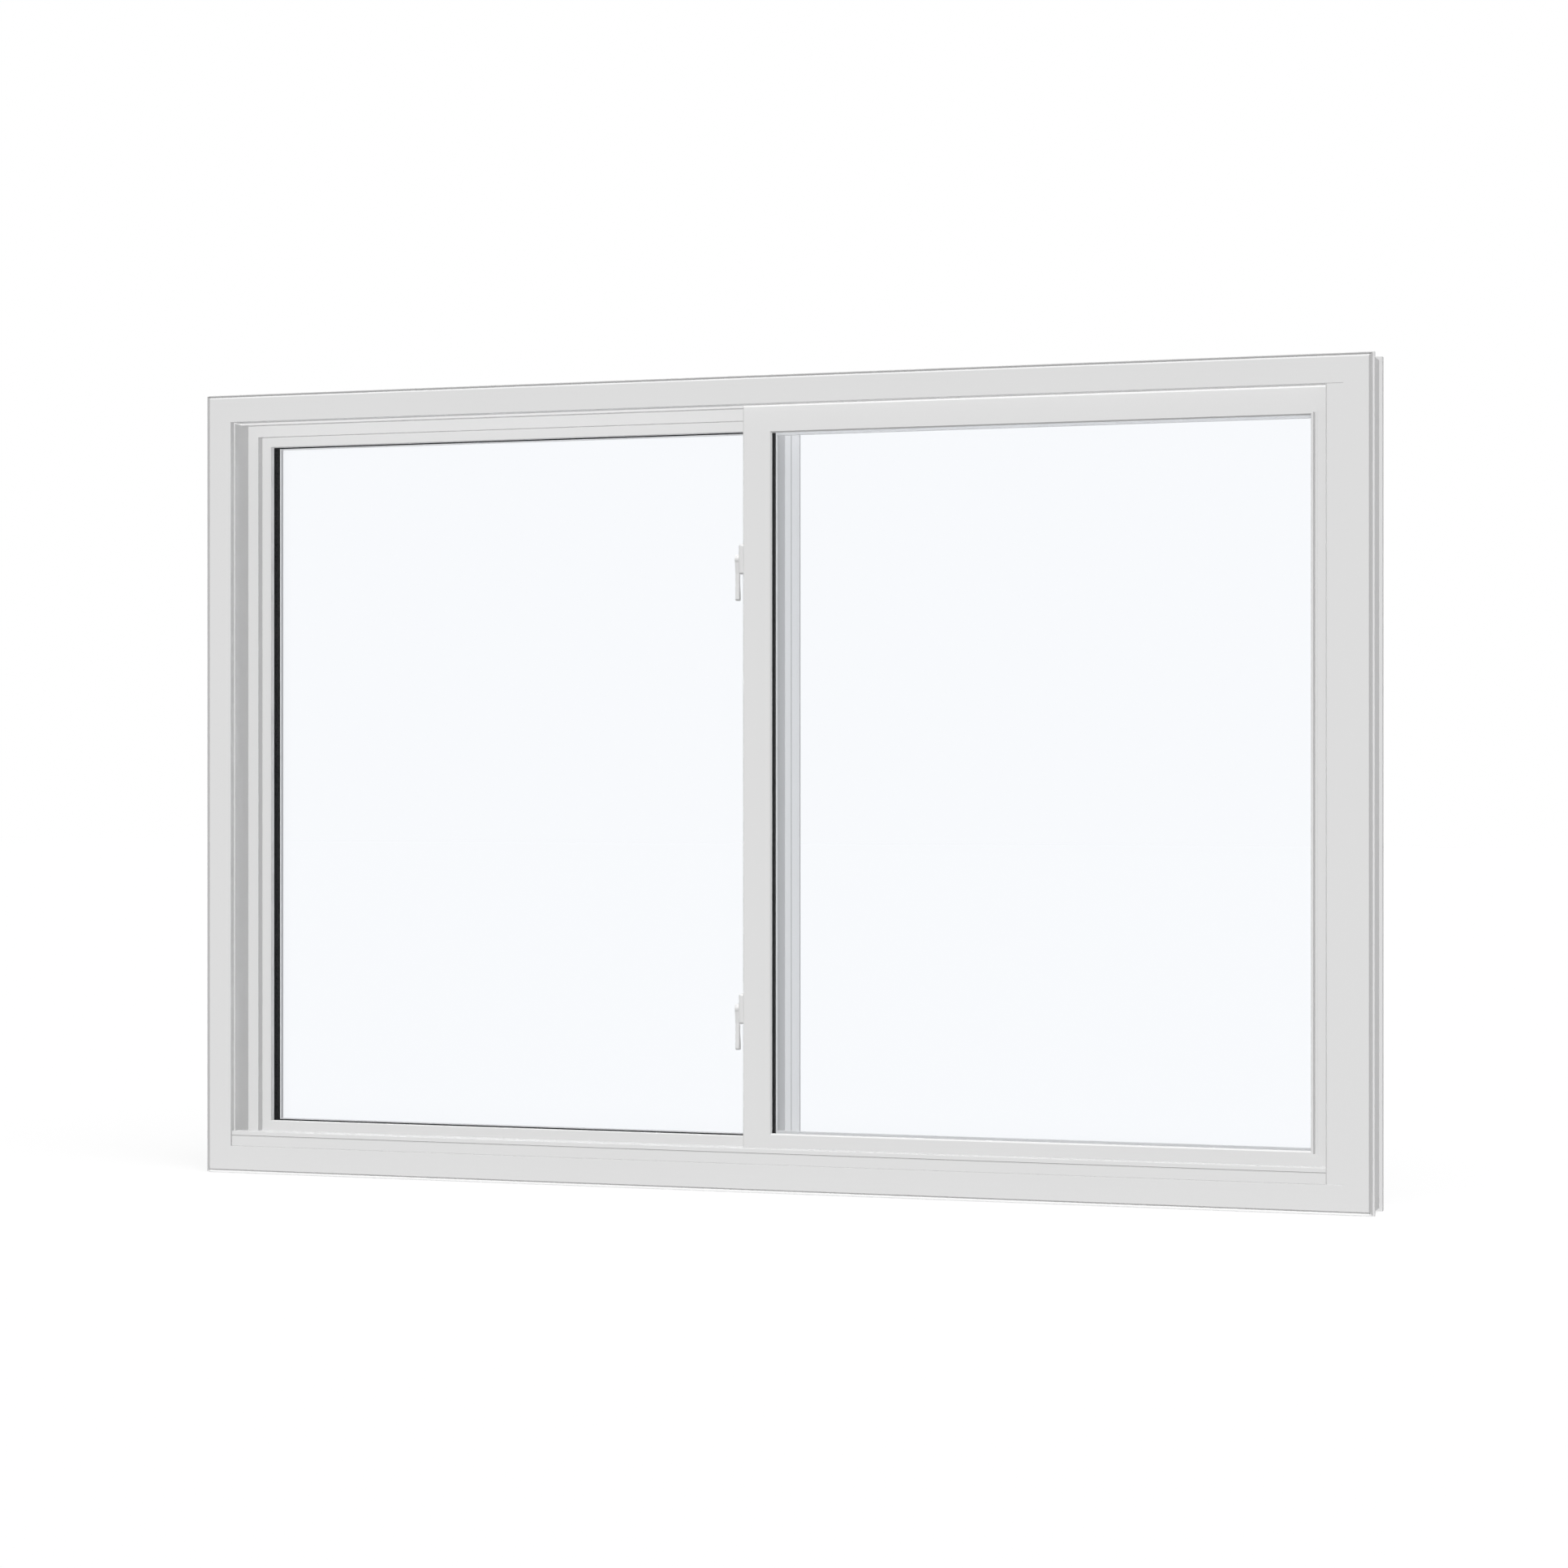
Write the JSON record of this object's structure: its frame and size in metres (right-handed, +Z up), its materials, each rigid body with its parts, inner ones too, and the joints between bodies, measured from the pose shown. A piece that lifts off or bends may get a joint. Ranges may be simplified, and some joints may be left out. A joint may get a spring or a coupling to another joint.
{
  "type": "horizontal sliding window",
  "caption": "White vinyl horizontal sliding window: a mitred frame holding a fixed glazed sash and a sliding glazed sash with cam latches and a pull rail.",
  "frame": {"origin": "midway along the width and depth, on the underside of the sill", "axes": "+X to the right seen from the room, +Y outdoors, +Z up; the room face is at -Y"},
  "size_m": [1.816, 0.1146, 1.2065],
  "materials": {
    "white_vinyl": "smooth extruded white vinyl with a soft satin sheen",
    "clear_glass": "clear float glass, faintly blue",
    "dark_spacer": "matt black edge spacer between the panes",
    "dark_gasket": "matt black glazing gasket",
    "white_latch": "white enamelled latch",
    "nylon_roller": "natural nylon wheel"
  },
  "bodies": {
    "root": {"frame_head": "white_vinyl", "frame_sill": "white_vinyl", "frame_jamb_left": "white_vinyl", "frame_jamb_right": "white_vinyl", "sill_dam": "white_vinyl", "jamb_filler": "white_vinyl", "fixed_top_rail": "white_vinyl", "fixed_bottom_rail": "white_vinyl", "fixed_left_stile": "white_vinyl", "fixed_meeting_stile": "white_vinyl", "fixed_interlock": "white_vinyl", "slide_top_rail": "white_vinyl", "slide_bottom_rail": "white_vinyl", "slide_meeting_stile": "white_vinyl", "slide_pull_stile": "white_vinyl", "fixed_inner_pane": "clear_glass", "fixed_outer_pane": "clear_glass", "slide_inner_pane": "clear_glass", "slide_outer_pane": "clear_glass", "fixed_spacer": "dark_spacer", "slide_spacer": "dark_spacer", "fixed_gasket": "dark_gasket", "slide_gasket": "dark_gasket", "latch_upper_base": "white_latch", "latch_upper_lever": "white_latch", "latch_lower_base": "white_latch", "latch_lower_lever": "white_latch", "roller_left": "nylon_roller", "roller_right": "nylon_roller"}
  },
  "joints": []
}
